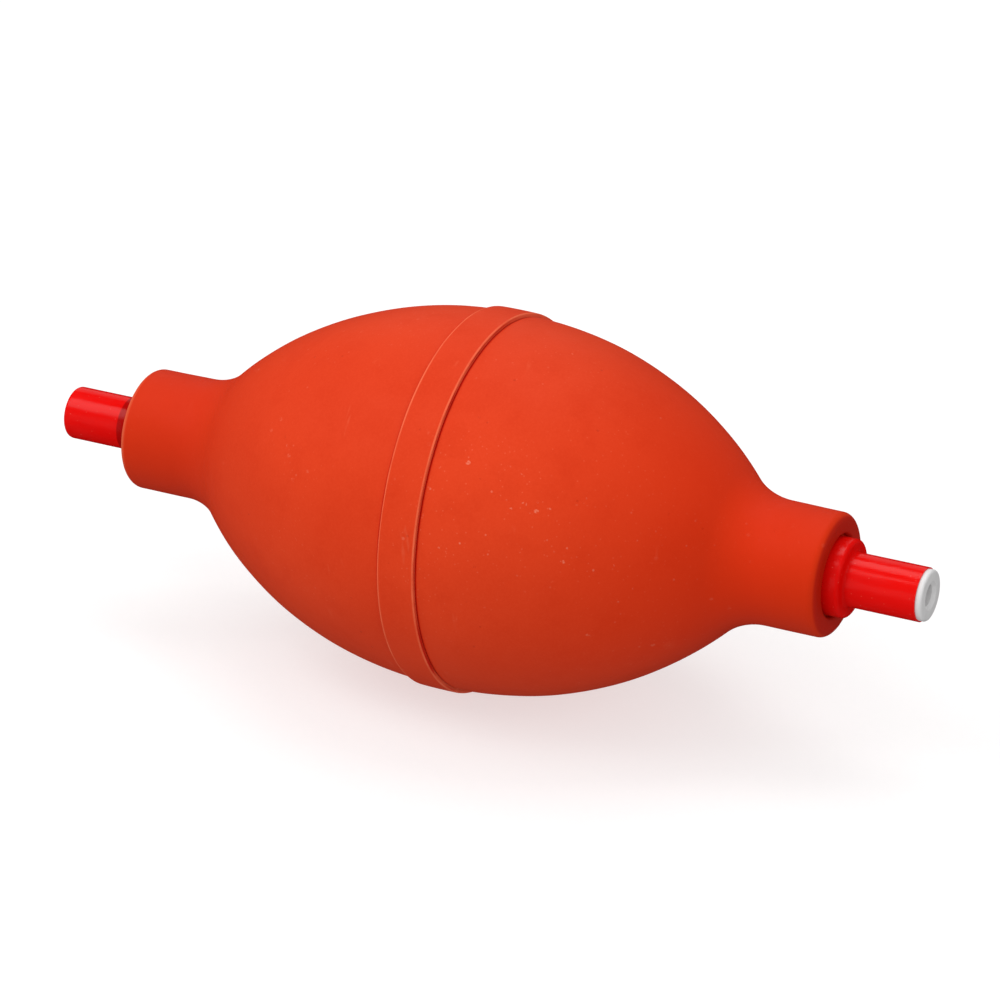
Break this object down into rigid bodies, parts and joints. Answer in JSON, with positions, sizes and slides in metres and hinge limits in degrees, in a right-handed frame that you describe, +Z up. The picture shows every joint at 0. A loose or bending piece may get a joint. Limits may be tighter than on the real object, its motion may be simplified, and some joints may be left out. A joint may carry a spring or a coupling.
{
  "type": "siphon bulb pump",
  "caption": "Hand squeezed rubber siphon bulb in two moulded halves under a seam band, with a one-way ball valve and a hose stub in each neck.",
  "frame": {"origin": "on the axis of the bulb, in the plane of the seam between its two halves", "axes": "+X along the bulb from the inlet end to the outlet end, the way the liquid flows; +Z up, through the stretch of wall that is squeezed"},
  "size_m": [0.1668, 0.0676, 0.0676],
  "materials": {
    "bulb_rubber": "matt orange-red moulded rubber with fine dust and scuffs",
    "valve_plastic": "glossy saturated red moulded plastic",
    "seat_rubber": "black soft rubber",
    "ball_steel": "smooth stainless steel ball",
    "tube_plastic": "satin white moulded plastic"
  },
  "bodies": {
    "bulb": {"bulb_half_inlet": "bulb_rubber", "bulb_half_outlet": "bulb_rubber", "seam_band": "bulb_rubber", "inlet_valve_body": "valve_plastic", "inlet_seat_ring": "seat_rubber", "inlet_stop_tube": "tube_plastic", "outlet_valve_body": "valve_plastic", "outlet_seat_ring": "seat_rubber", "outlet_stop_tube": "tube_plastic"},
    "pressed_wall": {"press_wall_inlet": "bulb_rubber", "press_wall_outlet": "bulb_rubber", "press_band": "bulb_rubber"},
    "inlet_ball": {"inlet_ball": "ball_steel"},
    "outlet_ball": {"outlet_ball": "ball_steel"}
  },
  "joints": [
    {"name": "bulb_squeeze", "type": "slide", "parent": "bulb", "child": "pressed_wall", "axis": [0, 0, -1], "range_m": [0, 0.0145], "stiffness_N_per_m": 1200},
    {"name": "inlet_ball_lift", "type": "slide", "parent": "bulb", "child": "inlet_ball", "axis": [1, 0, 0], "range_m": [0, 0.002]},
    {"name": "outlet_ball_lift", "type": "slide", "parent": "bulb", "child": "outlet_ball", "axis": [1, 0, 0], "range_m": [0, 0.002]}
  ]
}
